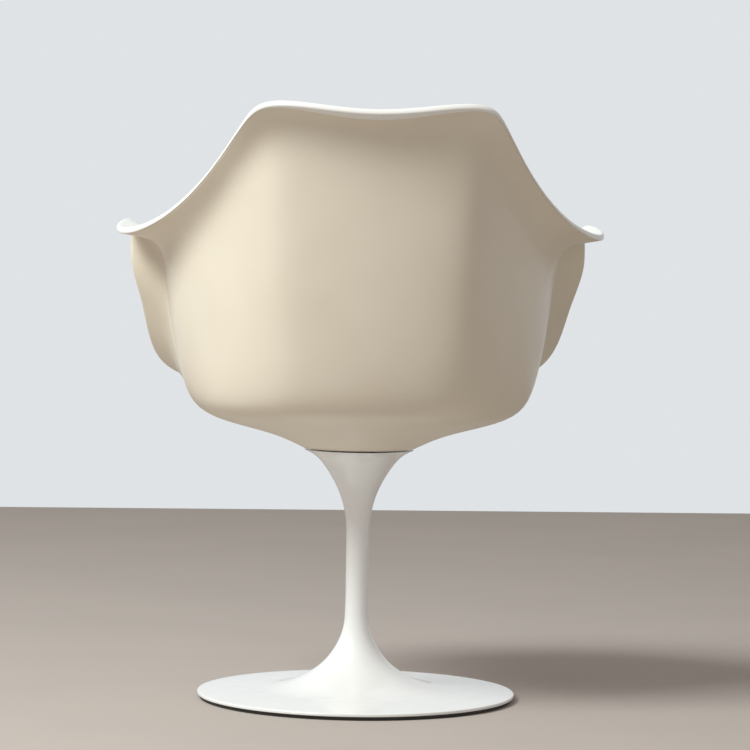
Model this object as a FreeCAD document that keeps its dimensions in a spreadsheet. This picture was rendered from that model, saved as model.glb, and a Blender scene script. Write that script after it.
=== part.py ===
import FreeCAD, Part
import Sketcher
import math
import os
import re

# Pedestal swivel armchair, in millimetres.
# Origin on the floor on the swivel axis, +Z up, the sitter faces -Y.

Vector = FreeCAD.Vector
doc = FreeCAD.newDocument("pedestal_armchair")
sheet = doc.addObject("Spreadsheet::Sheet", "sizes")

# Driving dimensions. Heights are above the floor unless a note says otherwise.
driving = [
    ("base_radius", 221, "outer radius of the round foot"),
    ("base_edge", 4.3, "height of the foot's outer edge face"),
    ("edge_bevel", 0.9, "bevels of that face"),
    ("base_land", 22, "width of the flat ring under the edge"),
    ("glide_height", 5.2, "dark ring that the foot stands on"),
    ("glide_inset", 3.5, "glide ring's outer face, in from the edge"),
    ("glide_width", 16, "width of the glide ring"),
    ("glide_bevel", 1, "its lower outer corner"),
    ("edge_slope", 3.5, "slope of the dish at its edge, degrees"),
    ("dish_radius", 62, "where the stem's flare runs out into the dish"),
    ("dish_height", 37, "height of the dish at that radius"),
    ("dish_slope", 33, "slope of the skin there, degrees"),
    ("dish_wall", 6, "wall of the dish"),
    ("socket_height", 61, "where the hollow foot narrows to the bore"),
    ("calf_radius", 24.4, "lower curve of the stem passes here"),
    ("calf_height", 81, "height of that point"),
    ("calf_slope", 66, "slope of the skin there, degrees"),
    ("stem_radius", 16, "thinnest part of the stem"),
    ("stem_low", 148, "lower end of the thinnest part"),
    ("stem_high", 165, "upper end of the thinnest part"),
    ("stem_bore", 11, "radius of the bore up the stem"),
    ("bore_foot", 118, "lower end of the bore"),
    ("flute_radius", 32, "upper curve of the stem passes here"),
    ("flute_depth", 48, "depth of that point under the top edge"),
    ("flute_slope", 63, "slope of the skin there, degrees"),
    ("brow_slope", 20, "slope of the skin at the top edge, degrees"),
    ("seam_radius", 77, "radius where the shell meets the pedestal"),
    ("seam_height", 347, "top of the pedestal"),
    ("seam_gap", 2, "open joint between pedestal and shell"),
    ("seam_land", 7, "width of the pedestal's top edge"),
    ("cup_radius", 34, "flat seat of the thrust bearing"),
    ("cup_depth", 32, "depth of that seat under the top edge"),
    ("cup_wall", 15, "upright wall round that seat"),
    ("bush_radius", 13, "outside of both bushes"),
    ("upper_bush_length", 30, "pressed in flush with the bearing seat"),
    ("lower_bush_length", 28, "stands on the shoulder in the stem"),
    ("shoulder_depth", 121, "bush shoulder, under the top edge"),
    ("journal_radius", 10, "spindle in the upper bush and the hub"),
    ("tail_radius", 8, "spindle in the lower bush"),
    ("tail_relief", 6, "narrow part of the spindle above the lower bush"),
    ("running_fit", 0.05, "radial clearance of spindle in bush"),
    ("end_float", 0.3, "lift left between washer and lower bush"),
    ("race_radius", 24, "outside of the bearing races"),
    ("race_thickness", 2.5, "thickness of each race"),
    ("race_bore_gap", 0.3, "race bore over the piece that it goes round"),
    ("roller_radius", 1.5, "needle rollers of the thrust bearing"),
    ("roller_length", 6, "needle rollers"),
    ("roller_circle", 18.7, "middle of the rollers from the axis"),
    ("roller_gap", 0.02, "clearance of a roller to each race"),
    ("cage_width", 8.6, "radial width of the roller cage"),
    ("cage_thickness", 2, "thickness of the roller cage"),
    ("pocket_gap", 0.15, "clearance of a roller in its pocket"),
    ("hub_radius", 60, "flange of the seat hub"),
    ("hub_flange", 10, "thickness of the flange"),
    ("hub_boss", 25, "radius of the boss under the flange"),
    ("hub_crown", 4, "metal left over the blind spindle bore"),
    ("hub_recess", 12, "depth of the recess under the shell"),
    ("recess_gap", 1.5, "recess wall clear of the flange"),
    ("pin_radius", 2.5, "spring pin across boss and spindle"),
    ("pin_depth", 13, "pin's axis below the flange"),
    ("pin_inset", 1.5, "pin's ends, in from the face of the boss"),
    ("washer_radius", 10.6, "retaining washer"),
    ("washer_thickness", 2.4, "retaining washer"),
    ("tail_screw_radius", 4, "screw in the spindle's lower end"),
    ("tail_screw_length", 22, "length under the head"),
    ("tail_head_radius", 6.5, "head of that screw"),
    ("tail_head_height", 8, "head of that screw"),
    ("tail_key_radius", 3.46, "corner radius of its hexagon socket"),
    ("tail_key_depth", 4, "depth of its hexagon socket"),
    ("floor_wall", 14, "moulding between the recess and the flat inner floor"),
    ("floor_flat", 60, "innermost ring of the flat floor"),
    ("floor_step", 20, "spacing of the rings of the flat floor"),
    ("plate_radius", 57, "stiffening plate on that floor"),
    ("plate_thickness", 3, "stiffening plate"),
    ("screw_radius", 3, "shell screws"),
    ("screw_circle", 42, "radius of the circle of shell screws"),
    ("screw_bite", 8, "length of the screws in the hub"),
    ("screw_head_radius", 5.8, "countersunk head"),
    ("screw_gap", 0.3, "screw holes over the shanks"),
    ("pad_radius", 14, "fastening pads"),
    ("pad_circle", 77, "radius of the circle of pads"),
    ("pad_thickness", 1.5, "hook pads and loop pads"),
    ("pad_gap", 0.3, "hooks to loops"),
    ("throat_radius", 90, "shell just above the seam"),
    ("throat_rise", 6.5, "its height over the seam"),
    ("flare_radius", 116, "where the shell's flare opens"),
    ("flare_rise", 19, "its height over the seam"),
    ("pan_width", 172, "underside of the seat pan, half width"),
    ("pan_front", 168, "underside of the pan, reach to the front"),
    ("pan_back", 156, "underside of the pan, reach to the back"),
    ("pan_rise", 32, "its height over the seam"),
    ("pan_tilt", 3, "front of the pan lower than the back"),
    ("bilge_width", 226, "round bottom edge of the bucket, half width"),
    ("bilge_front", 225, "bottom edge, reach to the front"),
    ("bilge_back", 203, "bottom edge, reach to the back"),
    ("bilge_rise", 49, "its height over the seam"),
    ("bilge_tilt", 7, "front of the bottom edge lower than the back"),
    ("turn_rise", 39, "height in which the bottom turns into the wall"),
    ("turn_limit", 0.4, "the most that it takes of the wall's height"),
    ("turn_hug", 0.45, "share of the wall's lean taken up there"),
    ("flank_rise", 0.57, "middle of the wall, share of its height"),
    ("flank_hug", 0.87, "share of the wall's lean taken up there"),
    ("wall_fullness", 2.35, "plan of the bucket, 2 is an ellipse"),
    ("pan_fullness", 2.1, "plan of the pan, 2 is an ellipse"),
    ("shell_wall", 6, "moulded wall"),
    ("rim_wall", 9.5, "thicker edge"),
    ("rim_band", 12, "width of the thicker edge"),
    ("rim_nose", 0.6, "roundness of the edge, share of its thickness"),
    ("cushion_rise", 62, "welt above the shell's floor"),
    ("cushion_crown", 19, "crown of the cushion above the welt"),
    ("cushion_aside", 12, "welt inside the bucket's bottom edge, at each side"),
    ("cushion_ahead", 39, "welt beyond the bottom edge in front, where the wall leans out"),
    ("cushion_behind", 4, "welt inside the bottom edge at the back"),
    ("cushion_corner", 178, "corner radius at the welt"),
    ("cushion_foot", 24, "corner radius where it lies on the floor"),
    ("cushion_belly", 0.8, "underside, 1 is a sine curve and less is fuller"),
    ("crown_flat", 0.21, "flat middle of the crown, share of the corner radius"),
    ("cover_wall", 1.2, "thickness of the cover cloth"),
    ("welt_radius", 3, "piping round the seam"),
]

# Poles of the shell's rim on the sitter's left half, front to back. They draw the edge
# curve, which passes a little inside them. For each: place of the pole, its z counted from
# the top of the pedestal, plan angle of the wall's foot below it, share of the reach that
# the wall takes up before the lip turns out, and share of the height at which it does.
rim = [
    ("front_centre", 0, -298, 82, 0, 0.85, 0.80),
    ("front_mid", 112, -292, 83, 20, 0.85, 0.80),
    ("front_corner", 206, -254, 86, 40, 0.80, 0.80),
    ("corner_side", 266, -184, 96, 55, 0.72, 0.80),
    ("wing_low", 291, -122, 140, 66, 0.60, 0.80),
    ("wing_mid", 301, -82, 198, 75, 0.56, 0.80),
    ("wing_high", 325, -54, 258, 80, 0.52, 0.86),
    ("arm_nose", 308, -78, 320, 84, 0.55, 0.90),
    ("arm_tip", 344, -32, 300, 90, 0.42, 0.96),
    ("arm_rear", 325, 45, 290, 100, 0.38, 0.96),
    ("slope_low", 275, 105, 310, 114, 0.45, 0.94),
    ("slope_mid", 229, 158, 353, 124, 0.52, 0.92),
    ("slope_high", 196, 202, 400, 134, 0.60, 0.90),
    ("shoulder_low", 172, 236, 439, 144, 0.62, 0.91),
    ("shoulder", 153, 259, 462, 153, 0.60, 0.93),
    ("back_out", 110, 271, 462, 161, 0.56, 0.945),
    ("back_mid", 60, 276, 455, 170, 0.54, 0.95),
    ("back_centre", 0, 278, 450, 180, 0.54, 0.95),
]
rimColumns = ("x", "y", "z", "angle", "hug", "rise")
rollerCount = 8
screwCount = 4
padCount = 4


def fillSheet():
    for row, (alias, value, note) in enumerate(driving, start=1):
        sheet.set("A%d" % row, alias)
        sheet.set("B%d" % row, str(value))
        sheet.setAlias("B%d" % row, alias)
        sheet.set("C%d" % row, note)
    for row, station in enumerate(rim, start=len(driving) + 2):
        sheet.set("A%d" % row, station[0])
        for letter, column, value in zip("BCDEFG", rimColumns, station[1:]):
            sheet.set("%s%d" % (letter, row), str(value))
            sheet.setAlias("%s%d" % (letter, row), "%s_%s" % (station[0], column))
    doc.recompute()


def bind(text):
    # Each word with an underscore is a cell of the sheet.
    return re.sub(r"([a-z]+(?:_[a-z]+)+)", r"sizes.\1", text)


def value(text):
    return float(sheet.evalExpression(bind(text)))


def plane(body, role):
    return [feature for feature in body.Origin.OriginFeatures if feature.Role == role][0]


def pin(sketch, kind, corner, text):
    if text == "0":
        axis = {"DistanceX": -2, "DistanceY": -1}[kind]
        sketch.addConstraint(Sketcher.Constraint("PointOnObject", corner, 1, axis))
    else:
        number = sketch.addConstraint(Sketcher.Constraint(kind, -1, 1, corner, 1, value(text)))
        sketch.setExpression("Constraints[%d]" % number, bind(text))


def turned(label, corners):
    # A turned piece: its half section, as (radius, height) pairs, goes round the swivel axis.
    body = doc.addObject("PartDesign::Body", label)
    body.Label = label
    sketch = body.newObject("Sketcher::SketchObject", label + "_section")
    sketch.AttachmentSupport = [(plane(body, "XZ_Plane"), "")]
    sketch.MapMode = "FlatFace"
    points = [Vector(value(radius), value(height), 0) for radius, height in corners]
    count = len(points)
    for corner in range(count):
        sketch.addGeometry(Part.LineSegment(points[corner], points[(corner + 1) % count]), False)
    for corner in range(count):
        following = (corner + 1) % count
        sketch.addConstraint(Sketcher.Constraint("Coincident", corner, 2, following, 1))
    for corner, (radius, height) in enumerate(corners):
        pin(sketch, "DistanceX", corner, radius)
        pin(sketch, "DistanceY", corner, height)
    solid = body.newObject("PartDesign::Revolution", label + "_turned")
    solid.Profile = sketch
    solid.ReferenceAxis = (sketch, ["V_Axis"])
    solid.Angle = 360
    return body


def ring(label, inner, outer, bottom, top):
    return turned(label, [(inner, bottom), (outer, bottom), (outer, top), (inner, top)])


def primitive(kind, name, sizes, place=("0", "0", "0")):
    solid = doc.addObject(kind, name)
    for field, text in sizes.items():
        solid.setExpression(field, bind(text))
    for axis, text in zip("xyz", place):
        solid.setExpression("Placement.Base." + axis, bind(text))
    return solid


def around(radius, height, count, start=0):
    # Places evenly spaced on a circle about the swivel axis.
    for number in range(count):
        angle = start + 360.0 * number / count
        yield ("%s * cos(%g deg)" % (radius, angle), "%s * sin(%g deg)" % (radius, angle), height)


def joined(kind, name, pieces):
    group = doc.addObject(kind, name)
    group.Shapes = pieces
    return group


def cut(label, base, tool):
    result = doc.addObject("Part::Cut", label)
    result.Label = label
    result.Base = base
    result.Tool = tool
    return result


def feature(label, shape):
    result = doc.addObject("Part::Feature", label)
    result.Label = label
    result.Shape = shape
    return result


# Heights that several pieces share, written once.
cupFloor = "seam_height - cup_depth"
shoulder = "seam_height - shoulder_depth"
shellFoot = "seam_height + seam_gap"
hubTop = shellFoot + " + hub_recess"
hubUnder = hubTop + " - hub_flange"
lowerRaceTop = cupFloor + " + race_thickness"
rollerHeight = lowerRaceTop + " + roller_radius + roller_gap"
upperRaceUnder = lowerRaceTop + " + 2 * roller_radius + 2 * roller_gap"
bossUnder = upperRaceUnder + " + race_thickness"
spindleTop = hubTop + " - hub_crown"
spindleFoot = shoulder + " - end_float"
journalFoot = shoulder + " + lower_bush_length + tail_relief"
shellFloor = hubTop + " + floor_wall"
plateTop = shellFloor + " + plate_thickness"
hookTop = shellFloor + " + pad_thickness"
cushionFloor = hookTop + " + pad_gap + pad_thickness"
cushionSeam = shellFloor + " + cushion_rise"


def line(first, second):
    ends = [Vector(radius, 0, height) for radius, height in (first, second)]
    return [Part.LineSegment(*ends).toShape()]


def arc(start, way, end):
    # The arc that leaves its start in a given direction.
    chord = end - start
    half = chord.Length / 2
    chord.normalize()
    aside = way - chord * way.dot(chord)
    middle = (start + end) / 2 + aside * (half / (1 + way.dot(chord)))
    return Part.Arc(start, middle, end).toShape()


def sweep(first, firstSlope, last, lastSlope):
    # Two arcs that run into each other and take up the slope at both ends, in degrees.
    start, end = [Vector(radius, 0, height) for radius, height in (first, last)]
    out, into = [Vector(math.cos(math.radians(slope)), 0, math.sin(math.radians(slope)))
                 for slope in (firstSlope, lastSlope)]
    reach = end - start
    both = reach.dot(out + into)
    turn = 2 * (1 - out.dot(into))
    stride = (math.sqrt(both ** 2 + turn * reach.dot(reach)) - both) / turn
    meeting = (start + end + (out - into) * stride) / 2
    across = (end - meeting).normalize()
    leaving = across * (2 * into.dot(across)) - into
    return [arc(start, out, meeting), arc(meeting, leaving, end)]


def cones(arcs, count):
    # A long shallow curve, drawn as short straight runs.
    points = []
    for piece in arcs:
        points += piece.discretize(count + 1)[len(points) > 0:]
    return [Part.LineSegment(*ends).toShape() for ends in zip(points, points[1:])]


def pedestalSection():
    # Half section of the casting: the trumpet outside, then the hollow foot, the stem's
    # bore, the seats of the bushes and of the thrust bearing, and the cup at the top.
    top = value("seam_height")
    neck = value("seam_radius")
    flute = (value("flute_radius"), top - value("flute_depth"))
    stem = value("stem_radius")
    low = value("stem_low")
    calf = (value("calf_radius"), value("calf_height"))
    dish = (value("dish_radius"), value("dish_height"))
    edge = value("base_radius")
    under = value("glide_height")
    edgeTop = under + value("base_edge")
    bevel = value("edge_bevel")
    brow = value("brow_slope")
    dishSlope = value("dish_slope")
    edgeSlope = value("edge_slope")
    outer = sweep((neck, top), 180 + brow, flute, 180 + value("flute_slope"))
    outer += sweep(flute, 180 + value("flute_slope"), (stem, value("stem_high")), 270)
    outer += line((stem, value("stem_high")), (stem, low))
    outer += sweep((stem, low), 270, calf, 360 - value("calf_slope"))
    outer += sweep(calf, 360 - value("calf_slope"), dish, 360 - dishSlope)
    outer += cones(sweep(dish, 360 - dishSlope, (edge - bevel, edgeTop), 360 - edgeSlope), 3)
    outer += line((edge - bevel, edgeTop), (edge, edgeTop - bevel))
    outer += line((edge, edgeTop - bevel), (edge, under + bevel))
    outer += line((edge, under + bevel), (edge - bevel, under))
    bore = value("stem_bore")
    bush = value("bush_radius")
    cup = value("cup_radius")
    wall = value("dish_wall")
    land = edge - value("base_land")
    seat = value(cupFloor)
    step = value(shoulder)
    mouth = neck - value("seam_land")
    heel = (dish[0] - wall, dish[1] - wall)
    corners = [heel, (bore + wall, value("socket_height")), (bore, value("bore_foot")), (bore, step), (bush, step),
               (bush, seat), (cup, seat), (cup, seat + value("cup_wall")), (mouth, top), (neck, top)]
    inner = line((edge - bevel, under), (land, under))
    inner += cones(sweep((land, under), 180 - edgeSlope, heel, 180 - dishSlope), 2)
    for first, second in zip(corners, corners[1:]):
        inner += line(first, second)
    return Part.Face(Part.Wire(outer + inner))


def pedestal():
    section = feature("pedestal_section", pedestalSection())
    casting = doc.addObject("Part::Revolution", "pedestal_casting")
    casting.Label = "pedestal_casting"
    casting.Source = section
    casting.Axis = Vector(0, 0, 1)
    casting.Angle = 360
    casting.Solid = True
    glide = turned("glide_ring", [
        ("base_radius - glide_inset - glide_width", "0"),
        ("base_radius - glide_inset - glide_bevel", "0"),
        ("base_radius - glide_inset", "glide_bevel"),
        ("base_radius - glide_inset", "glide_height"),
        ("base_radius - glide_inset - glide_width", "glide_height"),
    ])
    upper = ring("upper_bush", "journal_radius + running_fit", "bush_radius",
                 cupFloor + " - upper_bush_length", cupFloor)
    lower = ring("lower_bush", "tail_radius + running_fit", "bush_radius",
                 shoulder, shoulder + " + lower_bush_length")
    race = ring("lower_race", "bush_radius + race_bore_gap", "race_radius", cupFloor, lowerRaceTop)
    return [casting, glide, upper, lower, race]


def radial(kind, name, sizes, angle, start, aside, height, tip):
    # A primitive laid along a radius; tip turns its own axis down onto that radius.
    swing = "cos(%g deg)" % angle, "sin(%g deg)" % angle
    place = ("(%s) * %s + (%s) * %s" % (start, swing[0], aside, swing[1]),
             "(%s) * %s - (%s) * %s" % (start, swing[1], aside, swing[0]), height)
    solid = primitive(kind, name, sizes, place)
    turnedAbout = FreeCAD.Rotation(Vector(0, 0, 1), angle) * FreeCAD.Rotation(Vector(0, 1, 0), tip)
    solid.Placement = FreeCAD.Placement(solid.Placement.Base, turnedAbout)
    return solid


def bearingCage():
    floor = rollerHeight + " - cage_thickness / 2"
    band = ring("cage_band", "roller_circle - cage_width / 2", "roller_circle + cage_width / 2",
                floor, floor + " + cage_thickness")
    opening = {"Length": "roller_length + 2 * pocket_gap", "Width": "2 * roller_radius + 2 * pocket_gap",
               "Height": "2 * cage_thickness"}
    needle = {"Radius": "roller_radius", "Height": "roller_length"}
    start = "roller_circle - roller_length / 2"
    pockets = []
    rollers = []
    for number in range(rollerCount):
        angle = 360 * number / rollerCount
        pockets.append(radial("Part::Box", "pocket_%d" % number, opening, angle, start + " - pocket_gap",
                              "roller_radius + pocket_gap", floor + " - cage_thickness / 2", 0))
        rollers.append(radial("Part::Cylinder", "roller_%d" % number, needle, angle, start, "0",
                              rollerHeight, 90))
    cage = cut("roller_cage", band, joined("Part::MultiFuse", "pockets", pockets))
    group = doc.addObject("Part::Compound", "needle_rollers")
    group.Label = "needle_rollers"
    group.Links = rollers
    return [cage, group]


def seatHub():
    race = ring("upper_race", "journal_radius + race_bore_gap", "race_radius", upperRaceUnder, bossUnder)
    blank = turned("hub_blank", [
        ("journal_radius", bossUnder), ("hub_boss", bossUnder), ("hub_boss", hubUnder),
        ("hub_radius", hubUnder), ("hub_radius", hubTop), ("0", hubTop),
        ("0", spindleTop), ("journal_radius", spindleTop),
    ])
    holes = []
    tapped = {"Radius": "screw_radius", "Height": "hub_flange + 2 * screw_gap"}
    for number, (x, y, z) in enumerate(around("screw_circle", hubUnder + " - screw_gap", screwCount, 45)):
        holes.append(primitive("Part::Cylinder", "tapped_hole_%d" % number, tapped, (x, y, z)))
    holes.append(crossPin("pin_hole"))
    hub = cut("seat_hub", blank, joined("Part::MultiFuse", "hub_holes", holes))
    stock = turned("spindle_stock", [
        ("0", spindleTop), ("journal_radius", spindleTop),
        ("journal_radius", journalFoot), ("tail_radius", journalFoot), ("tail_radius", spindleFoot),
        ("tail_screw_radius", spindleFoot),
        ("tail_screw_radius", spindleFoot + " - washer_thickness + tail_screw_length"),
        ("0", spindleFoot + " - washer_thickness + tail_screw_length"),
    ])
    spindle = cut("swivel_spindle", stock, crossPin("spindle_hole"))
    spring = crossPin("spindle_pin")
    spring.Label = "spindle_pin"
    washer = ring("retaining_washer", "tail_screw_radius + screw_gap", "washer_radius",
                  spindleFoot + " - washer_thickness", spindleFoot)
    return [race, hub, spindle, spring, washer, tailScrew()]


def crossPin(name):
    size = {"Radius": "pin_radius", "Height": "2 * hub_boss - 2 * pin_inset"}
    rod = primitive("Part::Cylinder", name, size, ("pin_inset - hub_boss", "0", hubUnder + " - pin_depth"))
    rod.Placement = FreeCAD.Placement(rod.Placement.Base, FreeCAD.Rotation(Vector(0, 1, 0), 90))
    return rod


def tailScrew():
    under = spindleFoot + " - washer_thickness"
    head = under + " - tail_head_height"
    blank = turned("tail_screw_blank", [
        ("0", head), ("tail_head_radius", head), ("tail_head_radius", under),
        ("tail_screw_radius", under), ("tail_screw_radius", under + " + tail_screw_length"),
        ("0", under + " + tail_screw_length"),
    ])
    key = primitive("Part::Prism", "key_socket",
                    {"Circumradius": "tail_key_radius", "Height": "tail_key_depth"}, ("0", "0", head))
    return cut("retaining_screw", blank, key)


def spread(items):
    # Half a ring of poles, mirrored into a whole one.
    mirrored = [Vector(-pole.x, pole.y, pole.z) for pole in items[-2:0:-1]]
    return items + mirrored


def superRing(angles, width, front, back, fullness, height, tilt):
    # A ring between an ellipse and a rectangle, its front lower by the tilt.
    poles = []
    for angle in angles:
        across = math.sin(math.radians(angle))
        ahead = math.cos(math.radians(angle))
        reach = front if ahead > 0 else back
        radius = (abs(across / width) ** fullness + abs(ahead / reach) ** fullness) ** (-1 / fullness)
        poles.append(Vector(radius * across, -radius * ahead, height - tilt * max(ahead, 0)))
    return poles


def roundRing(count, radius, height):
    # The factor makes the curve itself, and not its poles, lie on the radius.
    step = math.pi / (count - 1)
    pull = radius * 3 / (2 + math.cos(step))
    return [Vector(pull * math.sin(step * i), -pull * math.cos(step * i), height) for i in range(count)]


def between(low, high, across, up):
    reach = high - low
    return low + Vector(across * reach.x, across * reach.y, up * reach.z)


def outerNet():
    names = [station[0] for station in rim]
    count = len(names)
    top = Vector(0, 0, value("seam_height"))
    edge = [top + Vector(*[value("%s_%s" % (name, axis)) for axis in "xyz"]) for name in names]
    angles = [value(name + "_angle") for name in names]
    hug = [value(name + "_hug") for name in names]
    rise = [value(name + "_rise") for name in names]
    even = [180.0 * i / (count - 1) for i in range(count)]
    halfway = [(a + b) / 2 for a, b in zip(angles, even)]
    foot = value(shellFoot)
    bilge = superRing(angles, value("bilge_width"), value("bilge_front"), value("bilge_back"),
                      value("wall_fullness"), foot + value("bilge_rise"), value("bilge_tilt"))
    pan = superRing(halfway, value("pan_width"), value("pan_front"), value("pan_back"),
                    value("pan_fullness"), foot + value("pan_rise"), value("pan_tilt"))
    flankHug = value("flank_hug")
    flankRise = value("flank_rise")
    turning = []
    flank = []
    lip = []
    for low, high, share, lift in zip(bilge, edge, hug, rise):
        turn = min(value("turn_limit"), value("turn_rise") / (high.z - low.z))
        turning.append(between(low, high, value("turn_hug") * share, turn))
        flank.append(between(low, high, flankHug * share, flankRise))
        lip.append(between(low, high, share, lift))
    outward = [(high - low).normalize() for low, high in zip(lip, edge)]
    root = [high - way * value("rim_band") for high, way in zip(edge, outward)]
    rings = [
        roundRing(count, value("seam_radius"), foot),
        roundRing(count, value("throat_radius"), foot + value("throat_rise")),
        roundRing(count, value("flare_radius"), foot + value("flare_rise")),
        pan, bilge, turning, flank, lip, root, edge,
    ]
    return [spread(ring) for ring in rings], spread(outward)


def inwards(rings):
    # Unit normals of the net, towards the sitter.
    normals = []
    for level, ring in enumerate(rings):
        below = rings[max(level - 1, 0)]
        above = rings[min(level + 1, len(rings) - 1)]
        count = len(ring)
        row = []
        for i in range(count):
            along = ring[(i + 1) % count] - ring[i - 1]
            rising = above[i] - below[i]
            row.append(rising.cross(along).normalize())
        normals.append(row)
    return normals


def shellNet():
    outside, outward = outerNet()
    normals = inwards(outside)
    wall = value("shell_wall")
    thick = value("rim_wall")
    walls = [wall] * (len(outside) - 2) + [(wall + thick) / 2, thick]
    inside = []
    for ring, row, depth in zip(outside, normals, walls):
        inside.append([pole + normal * depth for pole, normal in zip(ring, row)])
    nose = value("rim_nose") * thick
    outerNose = [pole + way * nose for pole, way in zip(outside[-1], outward)]
    innerNose = [pole + way * nose for pole, way in zip(inside[-1], outward)]
    flat = []
    count = len(rim)
    for number in (3, 2, 1, 0):
        radius = value("floor_flat") + number * value("floor_step")
        flat.append(spread(roundRing(count, radius, value(shellFloor))))
    return outside + [outerNose, innerNose] + inside[:2:-1] + flat


def netSurface(net):
    # Cubic both ways: closed round the shell, clamped from the seam over the rim to the floor.
    levels = len(net)
    count = len(net[0])
    poles = [[net[level][i] for level in range(levels)] for i in range(count)]
    aroundKnots = list(range(count + 1))
    upKnots = list(range(levels - 2))
    upCounts = [4] + [1] * (levels - 4) + [4]
    surface = Part.BSplineSurface()
    surface.buildFromPolesMultsKnots(poles, [1] * len(aroundKnots), upCounts, aroundKnots, upKnots,
                                     True, False, 3, 3)
    return surface


def band(lower, upper):
    # A ruled strip between two level curves.
    strip = Part.BSplineSurface()
    poles = [list(pair) for pair in zip(lower.getPoles(), upper.getPoles())]
    strip.buildFromPolesMultsKnots(poles, lower.getMultiplicities(), [2, 2], lower.getKnots(), [0, 1],
                                   True, False, 3, 1)
    return strip.toShape()


def seatShell():
    # The moulding is drawn as strips between level curves of one smooth surface. They lie
    # close where it bends most: at the bottom edge, under the lip and over the rim.
    surface = netSurface(shellNet())
    levels = (0, 1, 2, 2.8, 3.4, 4, 4.45, 4.9, 5.3, 5.7, 6.2, 6.8, 8.2, 9, 9.75, 10.5, 11.4, 12.5,
              13.1, 13.65, 14.2, 14.6, 15, 15.6, 16.3, 17.3, 18.2, 19, 20)
    curves = [surface.vIso(level) for level in levels]
    faces = [band(lower, upper) for lower, upper in zip(curves, curves[1:])]
    faces += [Part.Face(Part.Wire([curve.toShape()])) for curve in (curves[0], curves[-1])]
    closed = Part.makeCompound(faces)
    closed.sewShape()
    blank = feature("shell_blank", Part.Solid(closed.Shells[0]))
    recess = primitive("Part::Cylinder", "hub_recess",
                       {"Radius": "hub_radius + recess_gap", "Height": "hub_recess + seam_gap"},
                       ("0", "0", "seam_height"))
    holes = [recess]
    clear = {"Radius": "screw_radius + screw_gap", "Height": "hub_recess + floor_wall + plate_thickness"}
    for number, (x, y, z) in enumerate(around("screw_circle", shellFoot, screwCount, 45)):
        holes.append(primitive("Part::Cylinder", "shell_hole_%d" % number, clear, (x, y, z)))
    return cut("seat_shell", blank, joined("Part::MultiFuse", "shell_holes", holes))


def countersunk(name, x, y, grow, shank):
    cone = primitive("Part::Cone", name + "_head",
                     {"Radius1": "screw_radius" + grow, "Radius2": "screw_head_radius" + grow,
                      "Height": "plate_thickness"}, (x, y, shellFloor))
    rod = primitive("Part::Cylinder", name + "_shank", {"Radius": "screw_radius" + grow, "Height": shank},
                    (x, y, "%s - (%s)" % (shellFloor, shank)))
    return [cone, rod]


def shellFixings():
    screws = []
    sinks = []
    for number, (x, y, z) in enumerate(around("screw_circle", "0", screwCount, 45)):
        screws += countersunk("screw_%d" % number, x, y, "", "floor_wall + screw_bite")
        sinks += countersunk("sink_%d" % number, x, y, " + screw_gap", "plate_thickness")
    group = joined("Part::MultiFuse", "shell_screws", screws)
    group.Label = "shell_screws"
    blank = turned("plate_blank", [("0", shellFloor), ("plate_radius", shellFloor),
                                   ("plate_radius", plateTop), ("0", plateTop)])
    plate = cut("stiffening_plate", blank, joined("Part::MultiFuse", "plate_sinks", sinks))
    return [plate, group]


def pads(label, height):
    discs = []
    size = {"Radius": "pad_radius", "Height": "pad_thickness"}
    for number, (x, y, z) in enumerate(around("pad_circle", height, padCount)):
        discs.append(primitive("Part::Cylinder", "%s_%d" % (label, number), size, (x, y, z)))
    group = doc.addObject("Part::Compound", label)
    group.Label = label
    group.Links = discs
    return group


def cushionOutline(radius, height):
    # A rounded rectangle about the cushion's core, whose corner centres never move.
    corner = value("cushion_corner")
    width = value("bilge_width - cushion_aside") - corner
    front = value("bilge_front + cushion_ahead") - corner
    back = value("bilge_back - cushion_behind") - corner
    centres = [Vector(width, -front, height), Vector(width, back, height),
               Vector(-width, back, height), Vector(-width, -front, height)]
    edges = []
    last = centres[-1] - Vector(0, radius, 0)
    for centre in centres:
        aside = Vector(math.copysign(radius, centre.x), 0, 0)
        ahead = Vector(0, math.copysign(radius, centre.y), 0)
        start, end = (ahead, aside) if aside.x * ahead.y < 0 else (aside, ahead)
        middle = (aside + ahead) * math.sqrt(0.5)
        edges.append(Part.LineSegment(last, centre + start).toShape())
        edges.append(Part.Arc(centre + start, centre + middle, centre + end).toShape())
        last = centre + end
    return Part.Wire(edges)


def cushionSections(inset):
    # From the foot on the shell's floor, out to the welt and in over the crown.
    foot = value(cushionFloor) + inset
    seam = value(cushionSeam)
    crown = value("cushion_crown") - inset
    full = value("cushion_corner")
    least = value("cushion_foot")
    sections = []
    for share in (0, 0.25, 0.5, 0.75, 1):
        out = math.sin(math.pi / 2 * share) ** value("cushion_belly")
        sections.append((least + out * (full - least), foot + share * (seam - foot)))
    steepest = math.acos(value("crown_flat"))
    for share in (1 / 3, 2 / 3, 1):
        angle = share * steepest
        sections.append((full * math.cos(angle), seam + crown * math.sin(angle) / math.sin(steepest)))
    return [cushionOutline(radius - inset, height) for radius, height in sections]


def cushion():
    outer = Part.makeLoft(cushionSections(0), True, True)
    inner = Part.makeLoft(cushionSections(value("cover_wall")), True, True)
    seam = value(cushionSeam)
    size = 4 * value("bilge_front")
    over = Part.makeBox(size, size, size, Vector(-size / 2, -size / 2, seam))
    skin = outer.cut(inner)
    topCover = feature("cushion_top_cover", skin.common(over))
    bottomCover = feature("cushion_bottom_cover", skin.cut(over))
    foam = feature("cushion_foam", inner)
    return [foam, topCover, bottomCover, piping()]


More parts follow.
